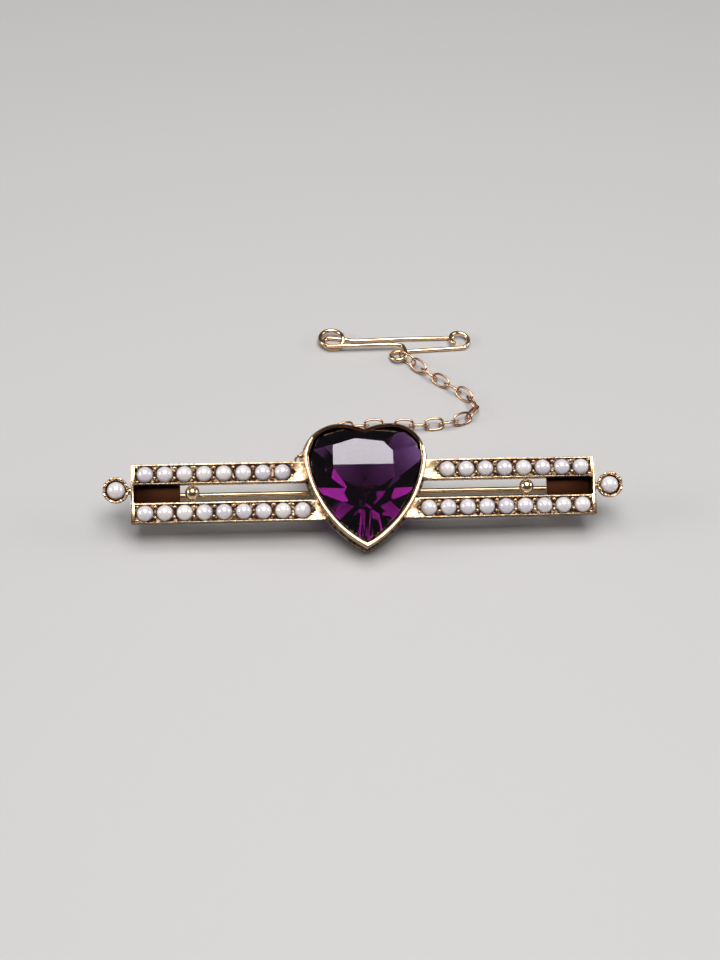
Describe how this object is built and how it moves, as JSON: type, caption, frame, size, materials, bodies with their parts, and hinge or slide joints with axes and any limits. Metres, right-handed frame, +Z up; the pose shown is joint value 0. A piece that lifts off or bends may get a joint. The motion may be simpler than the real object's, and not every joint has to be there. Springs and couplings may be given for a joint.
{
  "type": "bar brooch",
  "caption": "Gold twin bar brooch set with half pearls and a large heart amethyst, with a fine safety chain ending in a small safety pin.",
  "frame": {"origin": "on the surface that the brooch lies on, under the middle of its box", "axes": "+X along the bars to the viewer's right, +Y from the heart's tip towards the safety pin, +Z up from the surface"},
  "size_m": [0.0598, 0.0392, 0.0109],
  "materials": {
    "gold": "polished 9 carat gold, warm yellow",
    "rose_gold": "polished 9 carat rose gold wire",
    "pearl": "natural seed pearl with a soft silvery lustre",
    "amethyst": "polished deep purple amethyst"
  },
  "bodies": {
    "root": {"gold_mount": "gold", "heart_stone": "amethyst", "pearl_ul_1": "pearl", "pearl_ul_2": "pearl", "pearl_ul_3": "pearl", "pearl_ul_4": "pearl", "pearl_ul_5": "pearl", "pearl_ul_6": "pearl", "pearl_ul_7": "pearl", "pearl_ul_8": "pearl", "pearl_ll_1": "pearl", "pearl_ll_2": "pearl", "pearl_ll_3": "pearl", "pearl_ll_4": "pearl", "pearl_ll_5": "pearl", "pearl_ll_6": "pearl", "pearl_ll_7": "pearl", "pearl_ll_8": "pearl", "pearl_ll_9": "pearl", "pearl_ur_1": "pearl", "pearl_ur_2": "pearl", "pearl_ur_3": "pearl", "pearl_ur_4": "pearl", "pearl_ur_5": "pearl", "pearl_ur_6": "pearl", "pearl_ur_7": "pearl", "pearl_ur_8": "pearl", "pearl_lr_1": "pearl", "pearl_lr_2": "pearl", "pearl_lr_3": "pearl", "pearl_lr_4": "pearl", "pearl_lr_5": "pearl", "pearl_lr_6": "pearl", "pearl_lr_7": "pearl", "pearl_lr_8": "pearl", "pearl_lr_9": "pearl", "pearl_end_l": "pearl", "pearl_end_r": "pearl", "pin_stem": "gold", "chain": "rose_gold", "end_ring": "rose_gold", "safety_pin": "gold"}
  },
  "joints": []
}
